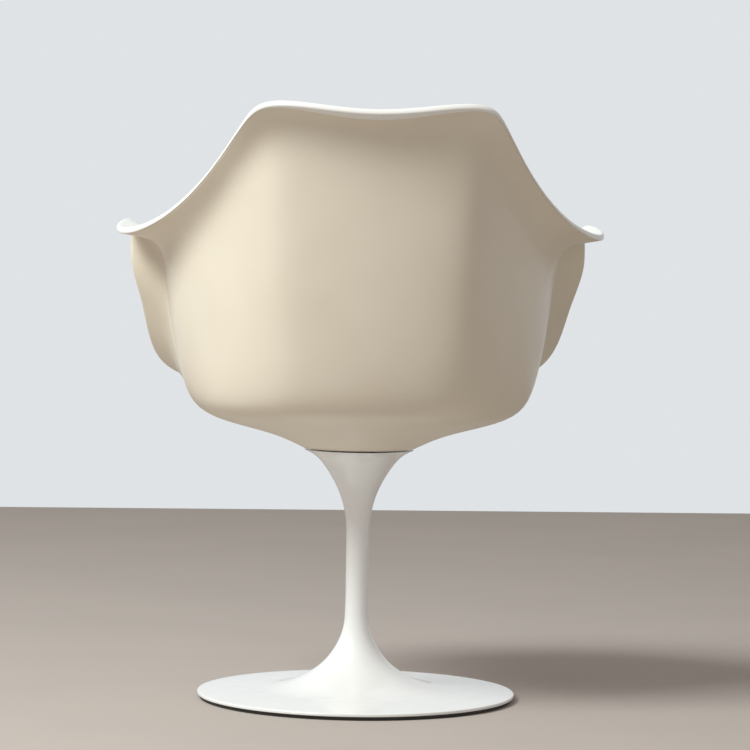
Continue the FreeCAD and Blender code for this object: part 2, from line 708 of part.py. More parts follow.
def piping():
    # Six-sided cord round the seam, just outside the cover.
    radius = value("welt_radius")
    path = cushionOutline(value("cushion_corner") + radius, value(cushionSeam))
    start = path.Edges[0].Vertexes[0].Point
    corners = []
    for side in range(7):
        turn = math.radians(60 * side)
        corners.append(start + Vector(0, radius * math.cos(turn), radius * math.sin(turn)))
    return feature("cushion_welt", path.makePipeShell([Part.makePolygon(corners)], True, False))


def checked(piece):
    for item in [piece] + list(piece.OutListRecursive):
        if "Invalid" in item.State or "Error" in item.State:
            raise RuntimeError("%s failed to build" % item.Label)
    shape = piece.Shape
    if shape.isNull() or not shape.isValid() or not shape.Solids:
        raise RuntimeError("%s has no valid solid" % piece.Label)
    return shape


fillSheet()
pieces = pedestal() + bearingCage() + seatHub() + [seatShell()] + shellFixings()
pieces += [pads("hook_pads", shellFloor), pads("loop_pads", hookTop + " + pad_gap")]
pieces += cushion()
doc.recompute()
os.makedirs("parts", exist_ok=True)
shapes = [(piece.Label, checked(piece)) for piece in pieces]
for label, shape in shapes:
    shape.exportStep("parts/%s.step" % label)
    box = shape.BoundBox
    print("%-22s %2d solids, volume %9.0f, z %.1f to %.1f" % (
        label, len(shape.Solids), shape.Volume, box.ZMin, box.ZMax))
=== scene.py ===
import cmath
import math

import bpy
import numpy as np
from mathutils import Matrix, Vector


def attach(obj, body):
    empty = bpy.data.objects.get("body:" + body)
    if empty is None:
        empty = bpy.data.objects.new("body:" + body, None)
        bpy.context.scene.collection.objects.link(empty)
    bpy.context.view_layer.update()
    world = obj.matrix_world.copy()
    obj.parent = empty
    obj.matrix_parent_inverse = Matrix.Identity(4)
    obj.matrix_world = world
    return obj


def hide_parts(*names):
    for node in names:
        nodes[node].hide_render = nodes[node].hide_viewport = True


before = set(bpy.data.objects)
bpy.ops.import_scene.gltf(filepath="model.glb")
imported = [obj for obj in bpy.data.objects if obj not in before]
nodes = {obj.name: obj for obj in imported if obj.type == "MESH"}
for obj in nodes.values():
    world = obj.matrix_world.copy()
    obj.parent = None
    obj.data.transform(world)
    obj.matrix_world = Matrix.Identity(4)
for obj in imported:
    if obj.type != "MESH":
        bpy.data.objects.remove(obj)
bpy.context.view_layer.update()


# Materials

def newFinish(name, **sockets):
    finish = bpy.data.materials.new(name)
    finish.use_nodes = True
    shader = finish.node_tree.nodes["Principled BSDF"]
    for socket, level in sockets.items():
        shader.inputs[socket.replace("_", " ")].default_value = level
    return finish, shader


def ownSpace(finish):
    # Patterns lie in the object's own space, in metres.
    return finish.node_tree.nodes.new("ShaderNodeTexCoord").outputs["Object"]


def grain(finish, scale, detail):
    tree = finish.node_tree
    spots = tree.nodes.new("ShaderNodeTexNoise")
    spots.inputs["Scale"].default_value = scale
    spots.inputs["Detail"].default_value = detail
    tree.links.new(ownSpace(finish), spots.inputs["Vector"])
    return spots.outputs["Fac"]


noiseMiddle = (0.3, 0.7)  # most values of a noise lie in here


def spread(finish, pattern, low, high):
    # Takes a pattern's middle range to the range from low to high.
    tree = finish.node_tree
    taken = tree.nodes.new("ShaderNodeMapRange")
    limits = {"From Min": noiseMiddle[0], "From Max": noiseMiddle[1], "To Min": low, "To Max": high}
    for socket, level in limits.items():
        taken.inputs[socket].default_value = level
    tree.links.new(pattern, taken.inputs["Value"])
    return taken.outputs["Result"]


def blendColours(finish, pattern, first, second):
    tree = finish.node_tree
    mix = tree.nodes.new("ShaderNodeMix")
    mix.data_type = "RGBA"
    tree.links.new(pattern, mix.inputs["Factor"])
    for socket, colour in (("A", first), ("B", second)):
        entry = [item for item in mix.inputs if item.name == socket and item.type == "RGBA"][0]
        if hasattr(colour, "is_linked"):
            tree.links.new(colour, entry)
        else:
            entry.default_value = (*colour, 1)
    return [item for item in mix.outputs if item.type == "RGBA"][0]


def colourBy(finish, shader, pattern, first, second):
    mixed = blendColours(finish, pattern, first, second)
    finish.node_tree.links.new(mixed, shader.inputs["Base Color"])


def roughBy(finish, shader, pattern, low, high):
    finish.node_tree.links.new(spread(finish, pattern, low, high), shader.inputs["Roughness"])


def reliefBy(finish, shader, *layers):
    # Each layer is a pattern and its depth in metres.
    tree = finish.node_tree
    normal = None
    for pattern, depth in layers:
        relief = tree.nodes.new("ShaderNodeBump")
        relief.inputs["Distance"].default_value = depth
        tree.links.new(pattern, relief.inputs["Height"])
        if normal:
            tree.links.new(normal, relief.inputs["Normal"])
        normal = relief.outputs["Normal"]
    tree.links.new(normal, shader.inputs["Normal"])


# Each noise has a scale and a detail. Clouds blend the two colours, shine goes from the first to
# the second roughness, and each layer of relief ends with its depth in metres.
glassFibre = {
    "clouds": (7, 4), "wholeRange": True, "shine": (22, 3),
    "relief": ((9, 1, 0.0009), (420, 2, 0.00005)),
    "sockets": {"Coat_Weight": 0.25, "Coat_Roughness": 0.22, "IOR": 1.5},
}
metal = {
    "clouds": (80, 4), "shine": (400, 3), "relief": ((900, 2, 0.00002),),
    "sockets": {"Metallic": 1.0},
}
recipes = {
    "shellCream": {**glassFibre, "light": (0.78, 0.71, 0.59), "dark": (0.74, 0.665, 0.545),
                   "rough": (0.38, 0.5)},
    # The white of the edge and the inside is partly a lighter finish and partly painted highlight
    # where the top light falls.
    "shellWhiteAndPaintedHighlight": {**glassFibre, "light": (0.87, 0.86, 0.83), "dark": (0.83, 0.82, 0.79),
                   "rough": (0.3, 0.4)},
    "pedestalCoat": {"light": (0.89, 0.89, 0.885), "dark": (0.85, 0.85, 0.84), "rough": (0.2, 0.27),
                     "clouds": (12, 3), "shine": (30, 3),
                     "relief": ((9, 1, 0.0004), (260, 2, 0.00001)),
                     "sockets": {"Coat_Weight": 0.6, "Coat_Roughness": 0.06, "IOR": 1.5}},
    "glideRubber": {"light": (0.035, 0.031, 0.027), "dark": (0.018, 0.016, 0.014),
                    "rough": (0.55, 0.8), "clouds": (60, 4), "shine": (200, 3),
                    "relief": ((700, 3, 0.00008),)},
    "groundSteel": {**metal, "light": (0.62, 0.62, 0.63), "dark": (0.5, 0.5, 0.51),
                    "rough": (0.2, 0.35)},
    "zincSteel": {**metal, "light": (0.66, 0.67, 0.68), "dark": (0.52, 0.53, 0.52),
                  "rough": (0.3, 0.45)},
    "castAluminium": {**metal, "light": (0.6, 0.6, 0.61), "dark": (0.5, 0.5, 0.5),
                      "rough": (0.45, 0.65)},
    "acetalBush": {"light": (0.78, 0.76, 0.7), "dark": (0.7, 0.68, 0.6), "rough": (0.4, 0.55),
                   "clouds": (90, 3), "shine": (260, 2), "relief": ((1200, 2, 0.00002),)},
}


def plainFinish(name, recipe):
    finish, shader = newFinish(name, **recipe.get("sockets", {}))
    clouds = grain(finish, *recipe["clouds"])
    if recipe.get("wholeRange"):
        clouds = spread(finish, clouds, 0, 1)
    colourBy(finish, shader, clouds, recipe["light"], recipe["dark"])
    roughBy(finish, shader, grain(finish, *recipe["shine"]), *recipe["rough"])
    reliefBy(finish, shader,
             *[(grain(finish, *noise), depth) for *noise, depth in recipe["relief"]])
    return finish


# Plain wool weave with a slight nap and painted shade between the threads. The fabrics differ in
# colour and in threads to a metre.
weave = {
    "wander": 1.2, "wanderDetail": 2, "wanderScale": 1.5, "fleck": (900, 3),
    "shade": 0.72, "gapShadeStrength": 0.55, "unevenness": (26, 3, 0.0016), "threadDepth": 0.0006,
    "nap": (1500, 2, 0.0002),
    "sockets": {"Sheen_Weight": 0.35, "Sheen_Roughness": 0.5, "Roughness": 0.9},
}
fabrics = {
    "hookPad": ((0.05, 0.05, 0.052), (0.025, 0.025, 0.027), 900),
    "cushionWool": ((0.36, 0.37, 0.38), (0.22, 0.225, 0.235), 420),
    "pipingWool": ((0.34, 0.35, 0.36), (0.2, 0.205, 0.215), 500),
}


def threadRows(finish, perMetre, direction):
    tree = finish.node_tree
    threads = tree.nodes.new("ShaderNodeTexWave")
    threads.bands_direction = direction
    scale = perMetre * math.pi / 10  # a band of the texture is pi / 10 wide at scale 1
    levels = {"Scale": scale, "Distortion": weave["wander"], "Detail": weave["wanderDetail"],
              "Detail Scale": weave["wanderScale"]}
    for socket, level in levels.items():
        threads.inputs[socket].default_value = level
    tree.links.new(ownSpace(finish), threads.inputs["Vector"])
    return threads.outputs["Fac"]


def clothFinish(name, light, dark, perMetre):
    finish, shader = newFinish(name, **weave["sockets"])
    tree = finish.node_tree
    crossing = tree.nodes.new("ShaderNodeMath")
    crossing.operation = "MULTIPLY"
    for entry, direction in enumerate("XY"):
        tree.links.new(threadRows(finish, perMetre, direction), crossing.inputs[entry])
    fleck = blendColours(finish, spread(finish, grain(finish, *weave["fleck"]), 0, 1), light, dark)
    # Painted shade: between the threads the colour darkens towards a darker copy of the dark thread
    # colour.
    shade = tuple(weave["shade"] * level for level in dark)
    gapShadeMask = tree.nodes.new("ShaderNodeMapRange")
    gapShadeMask.inputs["To Min"].default_value = weave["gapShadeStrength"]
    gapShadeMask.inputs["To Max"].default_value = 0.0
    tree.links.new(crossing.outputs["Value"], gapShadeMask.inputs["Value"])
    colourBy(finish, shader, gapShadeMask.outputs["Result"], fleck, shade)
    *uneven, unevenDepth = weave["unevenness"]
    *nap, napDepth = weave["nap"]
    reliefBy(finish, shader, (grain(finish, *uneven), unevenDepth),
             (crossing.outputs["Value"], weave["threadDepth"]), (grain(finish, *nap), napDepth))
    return finish


finishes = {name: plainFinish(name, recipe) for name, recipe in recipes.items()}
finishes.update({name: clothFinish(name, *fabric) for name, fabric in fabrics.items()})
print("finishes:", len(finishes))


# Meshes

def newPiece(name, points, faces, finishNames, body, slots=None):
    mesh = bpy.data.meshes.new(name)
    mesh.from_pydata([tuple(float(value) for value in point) for point in points], [], faces)
    for finishName in finishNames:
        mesh.materials.append(finishes[finishName])
    if slots is not None:
        mesh.polygons.foreach_set("material_index", slots)
    mesh.update()
    piece = bpy.data.objects.new(name, mesh)
    bpy.context.collection.objects.link(piece)
    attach(piece, body)
    return piece


def roundOff(piece, sharpest=40):
    piece.data.shade_smooth()
    piece.data.set_sharp_from_angle(angle=math.radians(sharpest))


def rowFaces(rows, columns, closed=False):
    # Quads between rings of points, laid one after another.
    faces = []
    for row in range(rows if closed else rows - 1):
        upper = (row + 1) % rows
        for column in range(columns):
            following = (column + 1) % columns
            faces.append((row * columns + column, row * columns + following,
                          upper * columns + following, upper * columns + column))
    return faces


def turned(name, profile, segments, finishName, body):
    # A closed half section of radii and heights, turned round the swivel axis.
    turns = np.arange(segments) * 2 * math.pi / segments
    points = [(radius * math.cos(turn), radius * math.sin(turn), height)
              for radius, height in profile for turn in turns]
    piece = newPiece(name, points, rowFaces(len(profile), segments, True), [finishName], body)
    roundOff(piece)
    return piece


# The moulded shell. Stations run round its edge on the sitter's left, front to back: place of
# the edge's pole with its height over the top of the pedestal, plan angle of the wall's foot
# below it, share of the reach that the wall takes up before the lip turns out, share of the
# height at which it does, and how far up the net the white edge begins. The white is partly a
# lighter finish and partly painted highlight of the top light.
rimStations = [
    (0, -0.298, 0.082, 0, 0.85, 0.80, 8.7),  # front, middle
    (0.112, -0.292, 0.083, 20, 0.85, 0.80, 8.7),
    (0.206, -0.254, 0.086, 40, 0.80, 0.80, 8.7),
    (0.266, -0.184, 0.096, 55, 0.72, 0.80, 8.8),
    (0.291, -0.122, 0.140, 66, 0.60, 0.80, 9.0),  # wing, rising to the arm
    (0.300, -0.082, 0.198, 75, 0.56, 0.80, 9.1),
    (0.321, -0.054, 0.258, 80, 0.52, 0.86, 9.1),
    (0.313, -0.078, 0.320, 84, 0.55, 0.90, 8.9),  # arm
    (0.343, -0.032, 0.300, 90, 0.42, 0.96, 8.7),
    (0.325, 0.045, 0.290, 100, 0.38, 0.96, 8.7),
    (0.275, 0.105, 0.310, 114, 0.38, 0.92, 8.75),  # slope to the back
    (0.229, 0.158, 0.353, 124, 0.42, 0.90, 8.75),
    (0.196, 0.202, 0.400, 134, 0.50, 0.88, 8.7),
    (0.172, 0.236, 0.439, 144, 0.56, 0.90, 8.6),
    (0.153, 0.259, 0.462, 153, 0.60, 0.93, 8.4),  # shoulder
    (0.110, 0.271, 0.462, 161, 0.56, 0.945, 8.0),
    (0.060, 0.276, 0.455, 170, 0.54, 0.95, 7.5),
    (0, 0.278, 0.450, 180, 0.54, 0.95, 7.4),  # back, middle
]
shell = {
    "pedestalTop": 0.347, "seamRadius": 0.077, "seamHeight": 0.349,
    "throatRadius": 0.090, "throatRise": 0.0065,
    "flareRadius": 0.116, "flareRise": 0.019,
    "panWidth": 0.172, "panFront": 0.168, "panBack": 0.156,
    "panRise": 0.032, "panTilt": 0.003, "panFullness": 2.1,
    "bilgeWidth": 0.226, "bilgeFront": 0.225, "bilgeBack": 0.203,
    "bilgeRise": 0.049, "bilgeTilt": 0.007, "wallFullness": 2.35,
    "turnRise": 0.039, "turnLimit": 0.4, "turnHug": 0.45, "flankRise": 0.57, "flankHug": 0.87,
    "wall": 0.006, "rimWall": 0.0095, "rimBand": 0.012, "rimNose": 0.6,
    "floorHeight": 0.375, "floorFlat": 0.060, "floorStep": 0.020,
    "recessRadius": 0.0615, "recessTop": 0.361,
    "columnsPerStation": 8, "lowerRows": 40, "rimRows": 40, "upperRows": 38, "rimEnd": 12.5,
    "bandProud": 0.0005, "bandStep": (-1, -0.4, 1), "bandFade": 8, "sharpest": 50,
}


def wholeRing(half):
    return np.vstack([half, half[-2:0:-1] * (-1, 1, 1)])


def superRing(angles, width, front, back, fullness, height, tilt):
    # Between an ellipse and a rectangle, its front lower by the tilt.
    across = np.sin(angles)
    ahead = np.cos(angles)
    reach = np.where(ahead > 0, front, back)
    radius = (abs(across / width) ** fullness + abs(ahead / reach) ** fullness) ** (-1 / fullness)
    return np.column_stack([radius * across, -radius * ahead, height - tilt * np.maximum(ahead, 0)])


def roundRing(count, radius, height):
    turns = np.linspace(0, math.pi, count)
    pull = radius * 3 / (2 + math.cos(turns[1]))  # brings the curve, not its poles, to the radius
    return np.column_stack([pull * np.sin(turns), -pull * np.cos(turns), np.full(count, height)])


def between(low, high, across, up):
    reach = high - low
    across = np.broadcast_to(across, len(low))
    return low + reach * np.column_stack([across, across, np.broadcast_to(up, len(low))])


def shellNet():
    stations = np.array(rimStations, float)
    edge = stations[:, :3] + (0, 0, shell["pedestalTop"])
    angles = np.radians(stations[:, 3])
    hug, rise = stations[:, 4], stations[:, 5]
    count = len(stations)
    foot = shell["seamHeight"]
    even = np.linspace(0, math.pi, count)
    pan = superRing((angles + even) / 2, shell["panWidth"], shell["panFront"], shell["panBack"],
                    shell["panFullness"], foot + shell["panRise"], shell["panTilt"])
    bilge = superRing(angles, shell["bilgeWidth"], shell["bilgeFront"], shell["bilgeBack"],
                      shell["wallFullness"], foot + shell["bilgeRise"], shell["bilgeTilt"])
    tall = edge[:, 2] - bilge[:, 2]
    lip = between(bilge, edge, hug, rise)
    outward = (edge - lip) / np.linalg.norm(edge - lip, axis=1)[:, None]
    halves = [
        roundRing(count, shell["seamRadius"], foot),
        roundRing(count, shell["throatRadius"], foot + shell["throatRise"]),
        roundRing(count, shell["flareRadius"], foot + shell["flareRise"]),
        pan, bilge,
        between(bilge, edge, shell["turnHug"] * hug,
                np.minimum(shell["turnLimit"], shell["turnRise"] / tall)),
        between(bilge, edge, shell["flankHug"] * hug, shell["flankRise"]),
        lip, edge - outward * shell["rimBand"], edge,
    ]
    outside = np.array([wholeRing(half) for half in halves])
    outward = wholeRing(outward)
    along = np.roll(outside, -1, 1) - np.roll(outside, 1, 1)
    rising = (np.concatenate([outside[1:], outside[-1:]])
              - np.concatenate([outside[:1], outside[:-1]]))
    inward = np.cross(rising, along)
    inward /= np.linalg.norm(inward, axis=2, keepdims=True)
    walls = np.full(len(outside), shell["wall"])
    walls[-2:] = (shell["wall"] + shell["rimWall"]) / 2, shell["rimWall"]
    inside = outside + inward * walls[:, None, None]
    nose = shell["rimNose"] * shell["rimWall"]
    noses = [outside[-1] + outward * nose, inside[-1] + outward * nose]
    floors = [wholeRing(roundRing(count, shell["floorFlat"] + number * shell["floorStep"],
                                  shell["floorHeight"])) for number in (3, 2, 1, 0)]
    return np.array([*outside, *noses, *inside[:2:-1], *floors])


def upWeights(poles, levels):
    # Clamped cubic: how much each ring of poles counts at each level up the net.
    knots = np.concatenate([[0] * 3, np.arange(poles - 2), [poles - 3] * 3]).astype(float)
    levels = np.minimum(levels, poles - 3 - 1e-9)
    weights = [((low <= levels) & (levels < high)).astype(float)
               for low, high in zip(knots, knots[1:])]
    for degree in (1, 2, 3):
        raised = []
        for i in range(len(weights) - 1):
            span = knots[i + degree] - knots[i]
            nextSpan = knots[i + degree + 1] - knots[i + 1]
            total = np.zeros(len(levels))
            if span:
                total += (levels - knots[i]) / span * weights[i]
            if nextSpan:
                total += (knots[i + degree + 1] - levels) / nextSpan * weights[i + 1]
            raised.append(total)
        weights = raised
    return np.array(weights).T


def roundWeights(poles, perPole):
    # The same for the closed cubic round the shell.
    weights = np.zeros((poles * perPole, poles))
    for sample in range(poles * perPole):
        pole, part = divmod(sample, perPole)
        x = part / perPole
        shares = ((1 - x) ** 3, 3 * x ** 3 - 6 * x ** 2 + 4,
                  3 * x + 3 * x ** 2 - 3 * x ** 3 + 1, x ** 3)
        for offset, share in enumerate(shares):
            weights[sample, (pole - 1 + offset) % poles] += share / 6
    return weights


def shellRows(start, top):
    # Levels up the net for each column: to the white edge, over the rim, and down inside.
    rimEnd = shell["rimEnd"]
    lower = np.arange(shell["lowerRows"]) / shell["lowerRows"]
    rim = np.arange(1, shell["rimRows"]) / shell["rimRows"]
    rows = [start * share for share in lower]
    rows += [start] * len(shell["bandStep"])
    rows += [start + (rimEnd - start) * share for share in rim]
    rows += [np.full(len(start), level) for level in np.linspace(rimEnd, top, shell["upperRows"])]
    return np.array(rows)


def makeShell():
    net = shellNet()
    rings, poles = net.shape[:2]
    turns = roundWeights(poles, shell["columnsPerStation"])
    start = turns @ wholeRing(np.array(rimStations)[:, [6, 6, 6]] * (0, 1, 0))[:, 1]
    levels = shellRows(start, rings - 3)
    weights = upWeights(rings, levels.ravel()).reshape(*levels.shape, rings)
    grid = np.einsum("rcl,lck->rck", weights, np.einsum("cp,lpk->lck", turns, net))
    columns = grid.shape[1]
    # The white edge stands a little proud of the cream wall, with a fine step between them.
    step = shell["lowerRows"]
    along = np.roll(grid, -1, 1) - np.roll(grid, 1, 1)
    rising = grid[step + 4] - grid[step - 1]  # clear of the rows that share a level
    outwards = np.cross(along[step], rising)
    outwards /= np.linalg.norm(outwards, axis=1)[:, None]
    proud = [*shell["bandStep"], *np.linspace(1, 0, shell["bandFade"] + 1)]
    for row, share in enumerate(proud, step):
        grid[row] += outwards * shell["bandProud"] * share
    under = []
    for radius, height in ((shell["recessRadius"], shell["recessTop"]),
                           (shell["recessRadius"], shell["seamHeight"])):
        ring = grid[0] / np.linalg.norm(grid[0][:, :2], axis=1)[:, None] * radius
        ring[:, 2] = height
        under.append(ring)
    rows = np.concatenate([under, grid])
    count = len(rows)
    points = [*rows.reshape(-1, 3), (0, 0, shell["recessTop"]), (0, 0, shell["floorHeight"])]
    faces = rowFaces(count, columns)
    # From the white edge on, the rim and the inside take the white, partly painted highlight of the
    # top light.
    band = (len(under) + step + 1) * columns  # faces from here on are white
    slots = [0] * band + [1] * (len(faces) - band)
    last = (count - 1) * columns
    for column in range(columns):
        following = (column + 1) % columns
        faces.append((following, column, count * columns))
        faces.append((last + column, last + following, count * columns + 1))
        slots += [0, 1]
    piece = newPiece("seatShell", points, faces, ["shellCream", "shellWhiteAndPaintedHighlight"], "seat", slots)
    roundOff(piece, shell["sharpest"])
    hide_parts("seat_shell")


makeShell()
print("shell made")


# The pedestal, turned. Slopes are in degrees.
pedestal = {
    "top": 0.347, "neck": 0.077, "land": 0.007, "browSlope": 20,
    "flute": (0.032, 0.299), "fluteSlope": 63,
    "stem": 0.016, "stemHigh": 0.165, "stemLow": 0.148,
    "calf": (0.0244, 0.081), "calfSlope": 66,
    "dish": (0.062, 0.037), "dishSlope": 33, "dishWall": 0.006,
    "edge": 0.221, "edgeHeight": 0.0043, "edgeSlope": 3.5, "edgeRound": 0.0014,
    "under": 0.0052, "baseLand": 0.022,
    "bore": 0.011, "bush": 0.013, "cup": 0.034, "cupFloor": 0.315, "cupWall": 0.015,
    "shoulder": 0.226, "lipRound": 0.0008, "footRound": 0.0008, "edgeDrop": 0.0001,
    "brow": (0.05, 0.0182), "boreFoot": (0.75, 0.8), "segments": 192, "sweepSteps": 14,
}


def heading(slope):
    return cmath.rect(1, math.radians(slope))


def arcPoints(start, way, end, count):
    # From start in a given direction to end, without the start itself.
    chord = end - start
    bend = cmath.phase(chord / way)
    radius = abs(chord) / (2 * math.sin(bend))
    turns = [2 * bend * i / count for i in range(1, count + 1)]
    return [start + way * radius * complex(math.sin(turn), 1 - math.cos(turn)) for turn in turns]


def sweepPoints(first, firstSlope, last, lastSlope):
    # Two arcs that run into each other and take up the slope at both ends.
    start, end = complex(*first), complex(*last)
    out, into = heading(firstSlope), heading(lastSlope)
    reach = end - start

    def dot(a, b):
        return (a * b.conjugate()).real

    both = dot(reach, out + into)
    turn = 2 * (1 - dot(out, into))
    stride = (math.sqrt(both ** 2 + turn * dot(reach, reach)) - both) / turn
    meeting = (start + end + (out - into) * stride) / 2
    across = (end - meeting) / abs(end - meeting)
    leaving = across * 2 * dot(into, across) - into
    count = pedestal["sweepSteps"]
    return arcPoints(start, out, meeting, count) + arcPoints(meeting, leaving, end, count)


def roundedCorner(corner, fromSide, toSide, size, count=4):
    # Cuts a corner of the section with a small arc.
    tip = complex(*corner)
    before = complex(*fromSide) - tip
    after = complex(*toSide) - tip
    start = tip + before / abs(before) * size
    end = tip + after / abs(after) * size
    return [start] + arcPoints(start, -before / abs(before), end, count)


def makePedestal():
    p = pedestal
    top = p["top"]
    edgeTop = p["under"] + p["edgeHeight"]
    fluteSlope, calfSlope = 180 + p["fluteSlope"], 360 - p["calfSlope"]
    dishSlope, edgeSlope = 360 - p["dishSlope"], 360 - p["edgeSlope"]
    along, down = p["brow"]
    path = roundedCorner((p["neck"], top), (0, top), (p["neck"] - along, top - down), p["lipRound"])
    lip = (path[-1].real, path[-1].imag)
    path += sweepPoints(lip, 180 + p["browSlope"], p["flute"], fluteSlope)
    path += sweepPoints(p["flute"], fluteSlope, (p["stem"], p["stemHigh"]), 270)
    path.append(complex(p["stem"], p["stemLow"]))
    path += sweepPoints((p["stem"], p["stemLow"]), 270, p["calf"], calfSlope)
    path += sweepPoints(p["calf"], calfSlope, p["dish"], dishSlope)
    rim = (p["edge"] - p["edgeRound"], edgeTop)
    path += sweepPoints(p["dish"], dishSlope, rim, edgeSlope)
    corner = (p["edge"], edgeTop - p["edgeDrop"])
    path += roundedCorner(corner, rim, (p["edge"], 0), p["edgeRound"])[1:]
    foot = (p["edge"], p["under"])
    path += roundedCorner(foot, (p["edge"], edgeTop), (0, p["under"]), p["footRound"])
    inner = (p["edge"] - p["baseLand"], p["under"])
    heel = (p["dish"][0] - p["dishWall"], p["dish"][1] - p["dishWall"])
    path.append(complex(*inner))
    path += sweepPoints(inner, 180 - p["edgeSlope"], heel, 180 - p["dishSlope"])
    mouth = p["neck"] - p["land"]
    wide, narrow = p["boreFoot"]  # where the bore's foot widens, as shares of calf and stem
    rest = [(p["bore"] + p["dishWall"], wide * p["calf"][1]), (p["bore"], narrow * p["stemLow"]),
            (p["bore"], p["shoulder"]), (p["bush"], p["shoulder"]), (p["bush"], p["cupFloor"]),
            (p["cup"], p["cupFloor"]), (p["cup"], p["cupFloor"] + p["cupWall"]), (mouth, top)]
    path += [complex(*point) for point in rest]
    profile = [(point.real, point.imag) for point in reversed(path)]
    piece = turned("pedestalBody", profile, p["segments"], "pedestalCoat", "pedestal")
    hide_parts("pedestal_casting")


makePedestal()

glide = {"outer": 0.2175, "inner": 0.2015, "height": 0.0052, "round": 0.0009, "steps": 3}


def makeGlide():
    inner, outer, high = glide["inner"], glide["outer"], glide["height"]
    corners = [(inner, 0), (outer, 0), (outer, high), (inner, high)]
    profile = []
    for i, corner in enumerate(corners):
        following = corners[(i + 1) % 4]
        profile += roundedCorner(corner, corners[i - 1], following, glide["round"], glide["steps"])
    profile = [(point.real, point.imag) for point in profile]
    piece = turned("glideRing", profile, pedestal["segments"], "glideRubber", "pedestal")
    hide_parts("glide_ring")


makeGlide()
print("pedestal made")


# The loose cushion. Its plan is a rounded rectangle about a core whose corner centres never
# move, so that one radius gives each section.
cushion = {
    "coreWidth": 0.036, "coreFront": 0.086, "coreBack": 0.021,
    "radius": 0.178, "footRadius": 0.026, "belly": 0.8, "crownReach": 0.98,
    "foot": 0.3786, "seam": 0.437, "crown": 0.4545, "steps": 14, "columns": 128,
    "shrink": 0.0012, "voxel": 0.0055, "pressure": 4.0, "frames": 20,
    "swellTop": 0.006, "swellBelow": 0.0012, "swellBlend": 0.008,
    "puckerDepth": 0.0006, "puckerReach": 0.016, "puckerInner": 0.7,
    "puckers": ((74, 0, 1), (31, 1.3, 0.6), (17, 0, 0.4)),  # to a turn, their start, their share
    "tuckDepth": 0.0022, "tuckReach": 0.0045,
}
welt = {
    "radius": 0.0029, "out": 0.0014, "sides": 14, "columns": 320, "lookAhead": 0.001,
    "uneven": ((97, 0, 0.02), (41, 2, 0.015)),
}


def planPoint(radius, turn, height):
    # turn runs from 0 to 1 round the plan; the straight sides get their share of points.
    c = cushion
    sides = [2 * c["coreWidth"], c["coreFront"] + c["coreBack"], 2 * c["coreWidth"],
             c["coreFront"] + c["coreBack"]]
    quarter = c["radius"] * math.pi / 2
    lengths = []
    for side in sides:
        lengths += [side, quarter]
    centres = [Vector((c["coreWidth"], -c["coreFront"])), Vector((c["coreWidth"], c["coreBack"])),
               Vector((-c["coreWidth"], c["coreBack"])), Vector((-c["coreWidth"], -c["coreFront"]))]
    way = turn * sum(lengths)
    part = 0
    while way > lengths[part] and part < 7:
        way -= lengths[part]
        part += 1
    corner = part // 2
    share = way / lengths[part]
    angle = math.radians(-90 + 90 * corner)
    if part % 2:
        angle += share * math.pi / 2
        centre = centres[corner]
    else:
        centre = centres[corner - 1].lerp(centres[corner], share)
    return (centre.x + radius * math.cos(angle), centre.y + radius * math.sin(angle), height)


def cushionRadii():
    c = cushion
    sections = []
    steps = c["steps"]
    for step in range(steps + 1):
        share = step / steps
        out = math.sin(share * math.pi / 2) ** c["belly"]
        sections.append((c["footRadius"] + out * (c["radius"] - c["footRadius"]),
                         c["foot"] + share * (c["seam"] - c["foot"])))
    for step in range(1, steps + 1):
        angle = step / steps * math.pi / 2
        sections.append((c["radius"] * (1 - (1 - math.cos(angle)) * c["crownReach"]),
                         c["seam"] + (c["crown"] - c["seam"]) * math.sin(angle)))
    return sections


def evaluated(piece):
    graph = bpy.context.evaluated_depsgraph_get()
    return bpy.data.meshes.new_from_object(piece.evaluated_get(graph))


def takeShape(piece, mesh):
    old = piece.data
    piece.data = mesh
    bpy.data.meshes.remove(old)


def vertexSpots(mesh):
    coordinates = np.empty(len(mesh.vertices) * 3)
    mesh.vertices.foreach_get("co", coordinates)
    return coordinates.reshape(-1, 3)


def inflate(piece):
    c = cushion
    even = piece.modifiers.new("even", "REMESH")
    even.mode = "VOXEL"
    even.voxel_size = c["voxel"]
    mesh = evaluated(piece)
    piece.modifiers.clear()
    takeShape(piece, mesh)
    before = vertexSpots(mesh)
    filling = piece.modifiers.new("filling", "CLOTH")
    filling.settings.use_pressure = True
    filling.settings.uniform_pressure_force = c["pressure"]
    filling.settings.effector_weights.gravity = 0
    filling.point_cache.frame_start = 1
    filling.point_cache.frame_end = c["frames"]
    for step in range(1, c["frames"] + 1):
        bpy.context.scene.frame_set(step)
    blown = evaluated(piece)
    after = vertexSpots(blown)
    piece.modifiers.clear()
    bpy.context.scene.frame_set(1)
    bpy.data.meshes.remove(blown)
    moved = after - before
    far = np.linalg.norm(moved, axis=1)
    upper = np.clip((before[:, 2] - c["seam"]) / c["swellBlend"], 0, 1)
    most = c["swellBelow"] + (c["swellTop"] - c["swellBelow"]) * upper
    share = np.minimum(1, most / np.maximum(far, 1e-9))
    after = before + moved * share[:, None]
    after[:, 2] = np.maximum(after[:, 2], c["foot"])
    mesh.vertices.foreach_set("co", after.ravel())
    mesh.update()
    print("cushion filled: most movement", round(float(far.max()) * 1000, 1), "mm before the cap")


